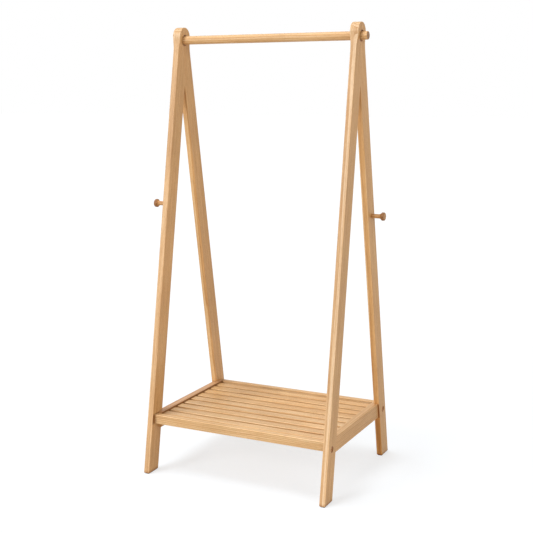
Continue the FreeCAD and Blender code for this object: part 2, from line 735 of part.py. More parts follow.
doc.recompute()
for item in doc.Objects:
    if "Invalid" in item.State or "Error" in item.State:
        raise RuntimeError("%s did not recompute: %s" % (item.Name, item.State))
os.makedirs("parts", exist_ok=True)
for node in nodes:
    if node.Shape.isNull() or not node.Shape.isValid():
        raise RuntimeError(node.Label + " has no valid shape")
    node.Shape.exportStep("parts/%s.step" % node.Label)
    print(node.Label, len(node.Shape.Solids), "solids", round(node.Shape.Volume / 1000, 1), "cm3")
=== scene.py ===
import bpy
import bmesh
import math
from mathutils import Matrix, Vector


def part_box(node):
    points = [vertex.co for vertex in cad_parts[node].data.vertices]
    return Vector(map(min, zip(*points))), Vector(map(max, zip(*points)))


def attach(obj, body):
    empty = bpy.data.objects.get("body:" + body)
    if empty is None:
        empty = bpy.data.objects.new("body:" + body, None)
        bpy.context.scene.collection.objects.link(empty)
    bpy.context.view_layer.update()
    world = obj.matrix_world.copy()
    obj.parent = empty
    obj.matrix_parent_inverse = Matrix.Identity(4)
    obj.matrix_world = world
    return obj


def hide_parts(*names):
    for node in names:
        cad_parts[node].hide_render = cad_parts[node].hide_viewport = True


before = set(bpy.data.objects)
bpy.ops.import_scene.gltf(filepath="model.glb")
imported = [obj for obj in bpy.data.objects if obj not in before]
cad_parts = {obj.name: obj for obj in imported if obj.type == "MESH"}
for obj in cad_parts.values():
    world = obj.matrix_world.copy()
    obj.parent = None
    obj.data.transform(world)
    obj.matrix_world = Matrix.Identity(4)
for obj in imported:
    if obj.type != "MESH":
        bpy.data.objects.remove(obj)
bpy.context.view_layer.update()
scene = bpy.context.scene
print("frame loaded,", len(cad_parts), "nodes")


# colours are picked as on a paint card, 0 to 255 in sRGB, and made linear for the shaders
def paint(red, green, blue):
    steps = [value / 255 for value in (red, green, blue)]
    linear = [s / 12.92 if s <= 0.04045 else ((s + 0.055) / 1.055) ** 2.4 for s in steps]
    return (*linear, 1.0)


# a small kit for wiring materials
def newFinish(name):
    finish = bpy.data.materials.new(name)
    finish.use_nodes = True
    tree = finish.node_tree
    tree.nodes.clear()
    output = tree.nodes.new("ShaderNodeOutputMaterial")
    shader = tree.nodes.new("ShaderNodeBsdfPrincipled")
    tree.links.new(shader.outputs["BSDF"], output.inputs["Surface"])
    return finish, tree, shader


def setInput(tree, socket, value):
    if isinstance(value, bpy.types.NodeSocket):
        tree.links.new(value, socket)
    else:
        socket.default_value = value


def addNode(tree, kind, inputs=None, **settings):
    node = tree.nodes.new(kind)
    for key, value in settings.items():
        setattr(node, key, value)
    for key, value in (inputs or {}).items():
        setInput(tree, node.inputs[key], value)
    return node


def addRamp(tree, value, stops):
    ramp = addNode(tree, "ShaderNodeValToRGB", {"Fac": value})
    marks = ramp.color_ramp.elements
    while len(marks) < len(stops):
        marks.new(0.5)
    for mark, (place, colour) in zip(marks, stops):
        mark.position = place
        mark.color = colour if isinstance(colour, tuple) else (colour, colour, colour, 1.0)
    return ramp.outputs["Color"]


def addMath(tree, operation, first, second):
    return addNode(tree, "ShaderNodeMath", {0: first, 1: second}, operation=operation).outputs[0]


def addVector(tree, operation, first, second=(0.0, 0.0, 0.0)):
    return addNode(tree, "ShaderNodeVectorMath", {0: first, 1: second}, operation=operation).outputs


def addNoise(tree, vector, settings, output="Fac"):
    return addNode(tree, "ShaderNodeTexNoise", {"Vector": vector, **settings}).outputs[output]


# the colours of a Mix node are its inputs 6 and 7 and its output 2
def addMix(tree, blend, amount, base, layer):
    mix = addNode(tree, "ShaderNodeMix", {"Factor": amount}, data_type="RGBA", blend_type=blend)
    setInput(tree, mix.inputs[6], base)
    setInput(tree, mix.inputs[7], layer)
    return mix.outputs[2]


def addBump(tree, shader, height, look):
    inputs = {"Height": height, "Strength": look["bump"], "Distance": look["bumpDepth"]}
    bump = addNode(tree, "ShaderNodeBump", inputs)
    tree.links.new(bump.outputs[0], shader.inputs["Normal"])


# places on the part that looks and new pieces follow
lapLow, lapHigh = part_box("right_side_rail")
apronLow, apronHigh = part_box("front_apron")
railLow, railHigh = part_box("hanging_rail")
railZ = (railLow.z + railHigh.z) / 2
railRadius = (railHigh.z - railLow.z) / 2
boltLow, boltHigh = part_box("apron_bolts")
boltHeadRadius = (boltHigh.z - boltLow.z) / 2
boltY = boltHigh.y - boltHeadRadius
boltZ = (boltLow.z + boltHigh.z) / 2

# light wood, cut from a log: rings round a pith beside the board, long streaks, fibres and pores
wood = {
    "dark": paint(192, 144, 91),
    "middle": paint(217, 176, 124),
    "light": paint(233, 202, 159),
    "pore": paint(144, 100, 56),
    "darkAt": 0.50,
    "middleAt": 0.72,
    "lightAt": 0.94,
    "stretch": 40.0,  # how much longer the figure is along the grain
    "wander": 0.0016,  # how far a streak strays, in metres
    "drift": {"Scale": 80.0, "Detail": 2.0},
    "rings": {"Scale": 60.0, "Distortion": 1.6, "Detail": 2.0, "Detail Scale": 1.4},
    "ringShare": 0.36,
    "streaks": {"Scale": 230.0, "Detail": 3.0, "Roughness": 0.6},
    "streakShare": 0.68,
    "fibres": {"Scale": 1100.0, "Detail": 3.0},
    "fibreShare": 0.40,
    "pores": {"Scale": 1500.0, "Detail": 1.0},
    "poreShorter": 2.2,
    "poreStops": [(0.60, 0.0), (0.68, 1.0)],
    "poreShare": 0.38,
    "poreDepth": 0.6,
    "patches": {"Scale": 4.5, "Detail": 2.0},
    "patchStops": (0.3, 0.7),
    "patchLow": 0.92,
    "patchWarmth": (1.0, 0.985, 0.96),
    "patchHigh": 1.06,
    "roughStops": [(0.3, 0.42), (0.75, 0.60)],
    "bump": 0.22,
    "bumpDepth": 0.0004,
}
legLean = math.radians(9.733)
grainTurns = {
    "up": (0.0, 0.0, 0.0),
    "frontLeg": (-legLean, 0.0, 0.0),
    "rearLeg": (legLean, 0.0, 0.0),
    "across": (0.0, math.radians(90), 0.0),
    "deep": (math.radians(-90), 0.0, 0.0),
}


# planed sides and cut ends take up the oil differently; the looks marked below paint shade, sheen or
# highlight by the way a face turns
def sideLook(axis, stops, tone=(1.0, 1.0, 1.0), bothWays=False):
    return {"axis": axis, "stops": stops, "tone": (*tone, 1.0), "bothWays": bothWays}


alongX = (1.0, 0.0, 0.0)
alongY = (0.0, 1.0, 0.0)
upward = (0.0, 0.0, 1.0)
toFront = (0.0, -1.0, 0.0)
toLeft = (-1.0, 0.0, 0.0)
faceStops = [(0.60, 0.0), (0.90, 1.0)]
endStops = [(0.70, 0.0), (0.97, 1.0)]
arrisStops = [(0.12, 0.0), (0.35, 1.0), (0.80, 1.0), (0.96, 0.0)]
sideLooks = {
    "wide": sideLook(alongX, faceStops, (0.95, 0.88, 0.76), bothWays=True),
    "endsX": sideLook(alongX, endStops, (0.46, 0.35, 0.25), bothWays=True),
    "endsY": sideLook(alongY, endStops, (0.92, 0.85, 0.72), bothWays=True),
    # painted shade: the slats' sawn edges darker, as seen in the gaps between slats
    "slatGapShade": sideLook(alongY, endStops, (0.84, 0.74, 0.62), bothWays=True),
    # painted shade: the rear legs' front faces darker
    "rearLegFrontShade": sideLook(toFront, faceStops, (0.96, 0.90, 0.80)),
    # painted sheen: the front legs' front faces paler and cooler
    "frontSheen": sideLook(toFront, faceStops, (1.02, 1.05, 1.17)),
    # painted shade: the side rails' top faces darker
    "railTopShade": sideLook(upward, faceStops, (0.88, 0.83, 0.79)),
    "leftRailTopShade": sideLook(upward, faceStops, (0.84, 0.74, 0.74)),
    "heartTop": sideLook(upward, faceStops, (1.03, 0.97, 0.86)),
    "innerLeft": sideLook(alongX, faceStops),
    "innerRight": sideLook(toLeft, faceStops),
    # rounded edges lighter: wear, and a painted highlight
    "arrisWearSheenX": sideLook(alongX, arrisStops, (1.10, 1.11, 1.14), bothWays=True),
    "arrisWearSheenY": sideLook(alongY, arrisStops, (1.18, 1.20, 1.25), bothWays=True),
}

# tones by height above the floor, in metres: darker at the foot, and painted shade low down under the shelf,
# at the laps, in the corners beside the apron and on the side rails' inner faces
lapEdge = 0.001
fade = 0.004
lapShadeStops = [(lapLow.z, 0.0), (lapLow.z + lapEdge, 1.0), (lapHigh.z - lapEdge, 1.0), (lapHigh.z, 0.0)]
apronCornerShadeStops = [(apronLow.z, 0.0), (apronLow.z + lapEdge, 1.0), (apronHigh.z, 1.0), (apronHigh.z + fade, 0.0)]
railInnerShadeStops = [(apronLow.z - fade, 0.0), (apronLow.z + fade, 1.0)]
heightLooks = {
    "foot": {"stops": [(0.004, 1.0), (0.011, 0.0)], "tone": (0.62, 0.50, 0.38, 1.0)},
    # painted shade under the shelf, on the rear legs' front faces
    "low": {"stops": [(0.14, 1.0), (0.22, 0.0)], "tone": (1.10, 0.88, 0.55, 1.0)},
    # painted shade on the rear legs' front faces beside the side rails
    "lap": {"stops": lapShadeStops, "tone": (0.52, 0.38, 0.30, 1.0)},
    # painted shade on the front legs' inner faces beside the apron's ends
    "corner": {"stops": apronCornerShadeStops, "tone": (0.46, 0.36, 0.25, 1.0)},
    # painted shade on the side rails' inner faces
    "railInnerShade": {"stops": railInnerShadeStops, "tone": (0.45, 0.33, 0.22, 1.0)},
}
pegTone = (0.84, 0.70, 0.54, 1.0)


def addFacing(tree, normal, look):
    facing = addVector(tree, "DOT_PRODUCT", normal, look["axis"])["Value"]
    if look["bothWays"]:
        facing = addMath(tree, "ABSOLUTE", facing, 0.0)
    return addRamp(tree, facing, look["stops"])


# a tone within a radius of an axis along X, or beyond it where the soft edge is negative
def addRoundTone(tree, colour, where, look):
    centreY, centreZ = look["centre"]
    offset = addVector(tree, "ADD", where, (0.0, -centreY, -centreZ))[0]
    level = addVector(tree, "MULTIPLY", offset, (0.0, 1.0, 1.0))[0]
    reach = addVector(tree, "LENGTH", level)["Value"]
    radius = look["radius"]
    edge = {"From Min": radius, "From Max": radius + look["soft"], "To Min": 1.0, "To Max": 0.0}
    amount = addNode(tree, "ShaderNodeMapRange", {"Value": reach, **edge}).outputs[0]
    return addMix(tree, "MULTIPLY", amount, colour, look["tone"])


def addHeightTone(tree, colour, where, look, share=1.0):
    height = addNode(tree, "ShaderNodeSeparateXYZ", {0: where}).outputs["Z"]
    amount = addMath(tree, "MULTIPLY", addRamp(tree, height, look["stops"]), share)
    return addMix(tree, "MULTIPLY", amount, colour, look["tone"])


# the grain follows the turned Z axis from the pith, and strays a little
def addGrainPlace(tree, where, grain, pith):
    stretch = (1.0, 1.0, wood["stretch"])
    turn = {"Vector": where, "Location": pith, "Rotation": grainTurns[grain], "Scale": stretch}
    turned = addNode(tree, "ShaderNodeMapping", turn, vector_type="TEXTURE").outputs[0]
    drift = addNoise(tree, turned, wood["drift"], "Color")
    centred = addVector(tree, "SUBTRACT", drift, (0.5, 0.5, 0.5))[0]
    sway = addNode(tree, "ShaderNodeVectorMath", {0: centred, "Scale": 2 * wood["wander"]}, operation="SCALE")
    return addVector(tree, "ADD", turned, sway.outputs[0])[0]


# rings, streaks and fibres added up, with the contrast set about the middle tone
def addFigure(tree, place, fibres, contrast):
    rings = addNode(tree, "ShaderNodeTexWave", {"Vector": place, **wood["rings"]}, wave_type="RINGS",
                    rings_direction="Z", wave_profile="SAW").outputs["Fac"]
    streaks = addNoise(tree, place, wood["streaks"])
    ringPart = addMath(tree, "MULTIPLY", rings, wood["ringShare"])
    streakPart = addMath(tree, "MULTIPLY", streaks, wood["streakShare"])
    fibrePart = addMath(tree, "MULTIPLY", fibres, wood["fibreShare"])
    figure = addMath(tree, "ADD", addMath(tree, "ADD", ringPart, streakPart), fibrePart)
    middle = wood["middleAt"]
    spread = {"From Min": 0.0, "From Max": 2 * middle,
              "To Min": middle * (1 - contrast), "To Max": middle * (1 + contrast)}
    return addNode(tree, "ShaderNodeMapRange", {"Value": figure, **spread}, clamp=False).outputs[0]


def makeWood(name, grain, pith, tone, sides, rounds, bands, contrast):
    finish, tree, shader = newFinish(name)
    coords = addNode(tree, "ShaderNodeTexCoord").outputs
    where = coords["Object"]
    place = addGrainPlace(tree, where, grain, pith)
    fibres = addNoise(tree, place, wood["fibres"])
    porePlace = addVector(tree, "MULTIPLY", place, (1.0, 1.0, wood["poreShorter"]))[0]
    poreMask = addRamp(tree, addNoise(tree, porePlace, wood["pores"]), wood["poreStops"])
    figure = addFigure(tree, place, fibres, contrast)
    shades = [(wood[shade + "At"], wood[shade]) for shade in ("dark", "middle", "light")]
    colour = addRamp(tree, figure, shades)

    patches = addNoise(tree, where, wood["patches"])
    patchDark = [wood["patchLow"] * tone * part for part in wood["patchWarmth"]]
    patchTones = ((*patchDark, 1.0), wood["patchHigh"] * tone)
    patchShade = addRamp(tree, patches, list(zip(wood["patchStops"], patchTones)))
    colour = addMix(tree, "MULTIPLY", 1.0, colour, patchShade)
    colour = addMix(tree, "MIX", addMath(tree, "MULTIPLY", poreMask, wood["poreShare"]), colour, wood["pore"])
    for side in sides:
        amount = addFacing(tree, coords["Normal"], sideLooks[side])
        colour = addMix(tree, "MULTIPLY", amount, colour, sideLooks[side]["tone"])
    for look in rounds:
        colour = addRoundTone(tree, colour, where, look)
    for band, side in bands:
        share = addFacing(tree, coords["Normal"], sideLooks[side]) if side else 1.0
        colour = addHeightTone(tree, colour, where, heightLooks[band], share)
    if "peg" in name:
        colour = addMix(tree, "MULTIPLY", 1.0, colour, pegTone)
    tree.links.new(colour, shader.inputs["Base Color"])

    tree.links.new(addRamp(tree, fibres, wood["roughStops"]), shader.inputs["Roughness"])
    relief = addMath(tree, "SUBTRACT", fibres, addMath(tree, "MULTIPLY", poreMask, wood["poreDepth"]))
    addBump(tree, shader, relief, wood)
    return finish


def dress(node, finish):
    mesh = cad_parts[node].data
    mesh.materials.clear()
    mesh.materials.append(finish)


# every board comes from another place in the log: its grain, the pith beside it in metres, and its tone
boards = {
    "left_front_leg": ("frontLeg", (-0.300, 0.060, 0.10), 1.00),
    "left_rear_leg": ("rearLeg", (-0.345, -0.050, 0.55), 1.04),
    "right_front_leg": ("frontLeg", (0.352, 0.075, 0.90), 0.98),
    "right_rear_leg": ("rearLeg", (0.300, -0.065, 1.30), 1.02),
    "hanging_rail": ("across", (0.40, 0.035, 1.370), 1.07),
    "left_side_rail": ("deep", (-0.335, 0.20, 0.110), 0.98),
    "right_side_rail": ("deep", (0.345, 0.60, 0.125), 1.01),
    "front_apron": ("across", (0.15, -0.250, 0.120), 0.98),
    "rear_apron": ("across", (0.75, 0.255, 0.130), 0.98),
    # the cleats' low tone is painted shade: they show only as the dark ends of the slat gaps
    "left_cleat": ("deep", (-0.320, 1.10, 0.140), 0.45),
    "right_cleat": ("deep", (0.320, 1.50, 0.140), 0.45),
    "left_peg": ("across", (1.10, -0.080, 0.860), 0.95),
    "right_peg": ("across", (1.60, 0.112, 0.830), 0.95),
    "head_dowels": ("deep", (0.020, 0.30, 1.300), 0.92),
    "lap_dowels": ("across", (0.50, 0.020, 0.150), 0.92),
    "slat_pins": ("up", (0.020, 0.030, 0.40), 0.92),
}
boardSides = {
    "left_front_leg": ["wide", "frontSheen", "arrisWearSheenX"],
    "left_rear_leg": ["wide", "rearLegFrontShade", "arrisWearSheenX"],
    "right_front_leg": ["wide", "frontSheen", "arrisWearSheenX"],
    "right_rear_leg": ["wide", "rearLegFrontShade", "arrisWearSheenX"],
    "left_side_rail": ["wide", "endsY", "leftRailTopShade"],
    "right_side_rail": ["wide", "endsY", "railTopShade"],
    "front_apron": ["arrisWearSheenY"],
    "rear_apron": ["arrisWearSheenY"],
    "hanging_rail": ["endsX"],
}
# bands by height, each on all sides or on one
boardBands = {
    "left_front_leg": [("foot", None), ("corner", "innerLeft")],
    "left_rear_leg": [("foot", None), ("low", "rearLegFrontShade"), ("lap", "rearLegFrontShade")],
    "right_front_leg": [("foot", None), ("corner", "innerRight")],
    "right_rear_leg": [("foot", None), ("low", "rearLegFrontShade"), ("lap", "rearLegFrontShade")],
    "left_side_rail": [("railInnerShade", "innerLeft")],
    "right_side_rail": [("railInnerShade", "innerRight")],
}

# slats are cut in turn from either side of the pith, the rear ones nearer the heart
slat = {
    "tones": [1.03, 0.98, 1.06, 0.99, 1.05, 0.96, 1.04, 0.95, 1.00],
    "alongStep": 0.37,
    "pithAside": (-0.050, 0.055),
    "pithBelow": 0.03,
    "heartFrom": 5,
}
for index, tone in enumerate(slat["tones"]):
    node = "slat_%d" % (index + 1)
    low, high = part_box(node)
    aside = slat["pithAside"][index % 2]
    pith = (slat["alongStep"] * index, (low.y + high.y) / 2 + aside, low.z - slat["pithBelow"])
    boards[node] = ("across", pith, tone)
    # painted shade on the sawn edges, and wear with a painted highlight on the rounded edges
    boardSides[node] = ["slatGapShade", "endsX", "arrisWearSheenY"]
    if index >= slat["heartFrom"]:
        boardSides[node].append("heartTop")

# painted shade in and round the holes of the legs, at the rail and the bolt heads
holeShade = {
    "tone": (0.40, 0.25, 0.13, 1.0),
    "railReach": 1.15,
    "railSoft": 0.0045,
    "boltReach": 1.10,
    "boltSoft": 0.0006,
}
railHoleShade = {"radius": holeShade["railReach"] * railRadius, "soft": holeShade["railSoft"], "tone": holeShade["tone"]}
boltSeatShade = {"radius": holeShade["boltReach"] * boltHeadRadius, "soft": holeShade["boltSoft"], "tone": holeShade["tone"]}
legHoles = [
    {"centre": (0.0, railZ), **railHoleShade},
    {"centre": (boltY, boltZ), **boltSeatShade},
    {"centre": (-boltY, boltZ), **boltSeatShade},
]
boardRounds = {node: legHoles for node in boards if node.endswith("_leg")}

# painted shade on the rims of the pegs' heads
pegRimShade = {"soft": -0.005, "tone": (0.56, 0.46, 0.38, 1.0)}
for node in ("left_peg", "right_peg"):
    low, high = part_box(node)
    centre = ((low.y + high.y) / 2, (low.z + high.z) / 2)
    boardRounds[node] = [{"centre": centre, "radius": (high.z - low.z) / 2, **pegRimShade}]

contrasts = {"slat": 1.5, "sideRail": 0.65, "other": 0.95}
for node, (grain, pith, tone) in boards.items():
    kind = "slat" if node.startswith("slat_") else "sideRail" if node.endswith("_side_rail") else "other"
    sides = boardSides.get(node, ())
    rounds = boardRounds.get(node, ())
    bands = boardBands.get(node, ())
    dress(node, makeWood(node + "_wood", grain, pith, tone, sides, rounds, bands, contrasts[kind]))
print("wood on", len(boards), "nodes")

# plated metal with fine brushing and worn, slightly lighter spots
metal = {
    "brush": (1.0, 0.08, 1.0),
    "lines": {"Scale": 2400.0, "Detail": 3.0},
    "lineStops": (0.3, 0.7),
    "spots": {"Scale": 420.0, "Detail": 2.0},
    "spotStops": [(0.4, 0.0), (0.75, 1.0)],
    "bump": 0.12,
    "bumpDepth": 0.0001,
}


def makeMetal(name, base, worn, roughness):
    finish, tree, shader = newFinish(name)
    where = addNode(tree, "ShaderNodeTexCoord").outputs["Object"]
    brushed = addNode(tree, "ShaderNodeMapping", {"Vector": where, "Scale": metal["brush"]}).outputs[0]
    lines = addNoise(tree, brushed, metal["lines"])
    spots = addRamp(tree, addNoise(tree, where, metal["spots"]), metal["spotStops"])
    tree.links.new(addMix(tree, "MIX", spots, base, worn), shader.inputs["Base Color"])
    tree.links.new(addRamp(tree, lines, list(zip(metal["lineStops"], roughness))), shader.inputs["Roughness"])
    addBump(tree, shader, lines, metal)
    shader.inputs["Metallic"].default_value = 1.0
    return finish


boltFinish = makeMetal("bolt_bronze", paint(166, 108, 56), paint(194, 138, 80), (0.34, 0.50))
zincFinish = makeMetal("zinc_plate", paint(172, 174, 176), paint(198, 198, 196), (0.28, 0.44))
dress("peg_studs", zincFinish)

# dark felt: matted wool with loose hair on it
felt = {
    "mat": {"Scale": 900.0, "Detail": 4.0},
    "hairScale": 1300.0,
    "colourStops": [(0.3, paint(62, 44, 30)), (0.7, paint(92, 70, 50))],
    "roughStops": [(0.3, 0.86), (0.7, 0.98)],
    "bump": 0.6,
    "bumpDepth": 0.0004,
}


def makeFelt(name):
    finish, tree, shader = newFinish(name)
    where = addNode(tree, "ShaderNodeTexCoord").outputs["Object"]
    mat = addNoise(tree, where, felt["mat"])
    hair = addNode(tree, "ShaderNodeTexVoronoi", {"Vector": where, "Scale": felt["hairScale"]})
    tree.links.new(addRamp(tree, mat, felt["colourStops"]), shader.inputs["Base Color"])
    tree.links.new(addRamp(tree, mat, felt["roughStops"]), shader.inputs["Roughness"])
    addBump(tree, shader, addMath(tree, "ADD", mat, hair.outputs["Distance"]), felt)
    return finish


feltFinish = makeFelt("pad_felt")
print("metal and felt mixed")

# new pieces are shaped in edit mode, on faces and edges found by their place
micron = 1e-6
squareOn = 0.99  # the normal of a face square to an axis
smoothAngle = math.radians(32)
sharpAngle = math.radians(50)
breakSegments = 2
roundSides = 64
quarterTurnY = (0.0, math.pi / 2, 0.0)


def pick(kind, test):
    bpy.ops.mesh.select_mode(type="FACE" if kind == "faces" else "EDGE")
    bpy.ops.mesh.select_all(action="DESELECT")
    mesh = bpy.context.object.data
    shape = bmesh.from_edit_mesh(mesh)
    for part in getattr(shape, kind):
        part.select_set(test(part))
    bmesh.update_edit_mesh(mesh)


def liesAt(part, axis, place):
    return all(abs(corner.co[axis] - place) < micron for corner in part.verts)


def riseOf(edge):
    return abs(edge.verts[0].co.z - edge.verts[1].co.z)


def addCylinder(name, radius, length, place, turn=(0.0, 0.0, 0.0), sides=roundSides):
    bpy.ops.object.select_all(action="DESELECT")
    bpy.ops.mesh.primitive_cylinder_add(vertices=sides, radius=radius, depth=length,
                                        location=place, rotation=turn)
    bpy.ops.object.transform_apply(location=True, rotation=True, scale=True)
    bpy.context.object.name = name
    return bpy.context.object


def addBlock(name, size, place):
    bpy.ops.object.select_all(action="DESELECT")
    bpy.ops.mesh.primitive_cube_add(size=1.0, location=place, scale=size)
    bpy.ops.object.transform_apply(location=True, rotation=True, scale=True)
    bpy.context.object.name = name
    return bpy.context.object


def makeActive(piece):
    bpy.ops.object.select_all(action="DESELECT")
    piece.select_set(True)
    bpy.context.view_layer.objects.active = piece


def applyModifier(piece, kind, **settings):
    makeActive(piece)
    modifier = piece.modifiers.new(kind.lower(), kind)
    for key, value in settings.items():
        setattr(modifier, key, value)
    bpy.ops.object.modifier_apply(modifier=modifier.name)


def carve(piece, tool, operation="DIFFERENCE"):
    applyModifier(piece, "BOOLEAN", object=tool, operation=operation, solver="EXACT")
    bpy.data.objects.remove(tool)


def breakEdges(piece, width):
    applyModifier(piece, "BEVEL", width=width, segments=breakSegments, limit_method="ANGLE",
                  angle_limit=sharpAngle)


def extrudeAlong(value):
    bpy.ops.mesh.extrude_region_move(TRANSFORM_OT_translate={"value": value})


def finishPiece(piece, finish, node):
    makeActive(piece)
    bpy.ops.object.shade_smooth_by_angle(angle=smoothAngle)
    piece.data.materials.clear()
    piece.data.materials.append(finish)
    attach(piece, "stand")
    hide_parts(node)


# a copy with its own mesh, shifted or turned half round the rack's upright axis
def copyPiece(piece, name, shift=(0.0, 0.0, 0.0), halfTurn=False):
    makeActive(piece)
    bpy.ops.object.duplicate(linked=False)
    twin = bpy.context.object
    twin.name = name
    twin.location = shift
    twin.rotation_euler = (0.0, 0.0, math.pi if halfTurn else 0.0)
    bpy.ops.object.transform_apply(location=True, rotation=True, scale=True)
    return twin


# the right front piece, its copy at the rear, and both turned half round to the left side
def fourCorners(first, kind, depth):
    rear = copyPiece(first, kind + "_right_rear", shift=(0.0, depth, 0.0))
    leftRear = copyPiece(first, kind + "_left_rear", halfTurn=True)
    return [first, rear, leftRear, copyPiece(rear, kind + "_left_front", halfTurn=True)]


# bolts: flat round head with a hexagon socket, plain shank, cut thread and a pointed tip
bolt = {
    "headRadius": boltHeadRadius,
    "headThickness": 0.003,
    "rimBevel": 0.0007,
    "rimSegments": 4,
    "rimProfile": 0.6,
    "dishInset": 0.0011,
    "dishDepth": 0.0003,
    "key": 0.004,
    "keySides": 6,
    "keyDepth": 0.002,
    "shankRadius": 0.003,
    "shankLength": 0.030,
    "coreRadius": 0.00245,
    "threadLength": 0.0272,
    "pitch": 0.001,
    "plainTurns": 2,
    "ridgeShare": 0.8,
    "ridgeCorners": 4,
    "ridgeSteps": 24,
    "tipLength": 0.0008,
    "tipShare": 0.7,
    "edgeBevel": 0.00015,
}


def makeBolt(name):
    place = (boltHigh.x - bolt["headThickness"] / 2, -boltY, boltZ)
    piece = addCylinder(name, bolt["headRadius"], bolt["headThickness"], place, quarterTurnY)
    headBack = boltHigh.x - bolt["headThickness"]
    bpy.ops.object.mode_set(mode="EDIT")
    pick("edges", lambda edge: liesAt(edge, 0, boltHigh.x))
    bpy.ops.mesh.bevel(offset=bolt["rimBevel"], segments=bolt["rimSegments"], profile=bolt["rimProfile"])
    pick("faces", lambda face: face.normal.x > squareOn)
    bpy.ops.mesh.inset(thickness=bolt["dishInset"])
    bpy.ops.mesh.inset(thickness=bolt["dishDepth"])
    bpy.ops.transform.translate(value=(-bolt["dishDepth"], 0.0, 0.0))
    pick("faces", lambda face: face.normal.x < -squareOn and liesAt(face, 0, headBack))
    bpy.ops.mesh.inset(thickness=bolt["headRadius"] - bolt["shankRadius"])
    extrudeAlong((-bolt["shankLength"], 0.0, 0.0))
    bpy.ops.mesh.inset(thickness=bolt["shankRadius"] - bolt["coreRadius"])
    extrudeAlong((-bolt["threadLength"], 0.0, 0.0))
    extrudeAlong((-bolt["tipLength"], 0.0, 0.0))
    bpy.ops.transform.resize(value=(1.0, bolt["tipShare"], bolt["tipShare"]))
    bpy.ops.object.mode_set(mode="OBJECT")

    socketRadius = bolt["key"] / math.sqrt(3.0)
    socketPlace = (boltHigh.x - bolt["dishDepth"], -boltY, boltZ)
    socketLength = 2 * bolt["keyDepth"]  # half of the tool stands out in front
    socket = addCylinder("socketTool", socketRadius, socketLength, socketPlace, quarterTurnY,
                         bolt["keySides"])
    carve(piece, socket)
    carve(piece, makeThread(headBack - bolt["shankLength"]), "UNION")
    breakEdges(piece, bolt["edgeBevel"])
    return piece


# one thread ridge, wound round the core with the Screw modifier
def makeThread(start):
    ridgeRadius = bolt["ridgeShare"] * (bolt["shankRadius"] - bolt["coreRadius"])
    bpy.ops.object.select_all(action="DESELECT")
    bpy.ops.mesh.primitive_circle_add(vertices=bolt["ridgeCorners"], radius=ridgeRadius, fill_type="NOTHING",
                                      location=(start - bolt["pitch"], -boltY, boltZ))
    ridge = bpy.context.object
    bpy.ops.object.mode_set(mode="EDIT")
    bpy.ops.mesh.select_all(action="SELECT")
    bpy.ops.transform.translate(value=(0.0, bolt["shankRadius"] - ridgeRadius, 0.0))
    bpy.ops.object.mode_set(mode="OBJECT")
    turns = int(bolt["threadLength"] / bolt["pitch"]) - bolt["plainTurns"]
    applyModifier(ridge, "SCREW", axis="X", screw_offset=-bolt["pitch"], iterations=turns,
                  steps=bolt["ridgeSteps"], render_steps=bolt["ridgeSteps"], use_merge_vertices=True)
    bpy.ops.object.mode_set(mode="EDIT")
    bpy.ops.mesh.select_mode(type="EDGE")
    bpy.ops.mesh.select_all(action="DESELECT")
    bpy.ops.mesh.select_non_manifold()
    bpy.ops.mesh.edge_face_add()
    bpy.ops.mesh.select_all(action="SELECT")
    bpy.ops.mesh.normals_make_consistent(inside=False)
    bpy.ops.object.mode_set(mode="OBJECT")
    makeActive(ridge)
    bpy.ops.object.transform_apply(location=True, rotation=True, scale=True)
    return ridge


bolts = fourCorners(makeBolt("bolt_right_front"), "bolt", 2 * boltY)
for piece in bolts:
    finishPiece(piece, boltFinish, "apron_bolts")
print("bolts", [len(piece.data.polygons) for piece in bolts])

# barrel nuts: cross-bored pins with a driver slot in the lower end, set up into the aprons
nutLow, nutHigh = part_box("barrel_nuts")
nut = {
    "radius": 0.005,
    "rimBevel": 0.0006,
    "rimSegments": 3,
    "bore": 0.00306,
    "boreSides": 40,
    "slotWidth": 0.0013,
    "slotDepth": 0.0014,
    "edgeBevel": 0.0002,
}
nutX = nutHigh.x - nut["radius"]
nutY = nutHigh.y - nut["radius"]


def makeNut(name):
    piece = addCylinder(name, nut["radius"], nutHigh.z - nutLow.z, (nutX, -nutY, (nutLow.z + nutHigh.z) / 2))
    bpy.ops.object.mode_set(mode="EDIT")
    pick("edges", lambda edge: liesAt(edge, 2, nutLow.z) or liesAt(edge, 2, nutHigh.z))
    bpy.ops.mesh.bevel(offset=nut["rimBevel"], segments=nut["rimSegments"])
    bpy.ops.object.mode_set(mode="OBJECT")
    across = 4 * nut["radius"]  # the tools stand out on both sides
    borePlace = (nutX, -nutY, boltZ)
    carve(piece, addCylinder("boreTool", nut["bore"], across, borePlace, quarterTurnY, nut["boreSides"]))
    slotSize = (across, nut["slotWidth"], 2 * nut["slotDepth"])
    carve(piece, addBlock("slotTool", slotSize, (nutX, -nutY, nutLow.z)))
    breakEdges(piece, nut["edgeBevel"])
    return piece


nuts = fourCorners(makeNut("nut_right_front"), "nut", 2 * nutY)
for piece in nuts:
    finishPiece(piece, zincFinish, "barrel_nuts")
print("nuts", [len(piece.data.polygons) for piece in nuts])

# felt pads: cut sheet with round corners, pressed edges and an uneven, matted face
pad = {
    "cornerRound": 0.003,
    "cornerSegments": 5,
    "edgeRound": 0.0006,
    "edgeSegments": 3,
    "matCuts": 3,
    "matDepth": 0.0003,
    "matScale": 0.0022,
}


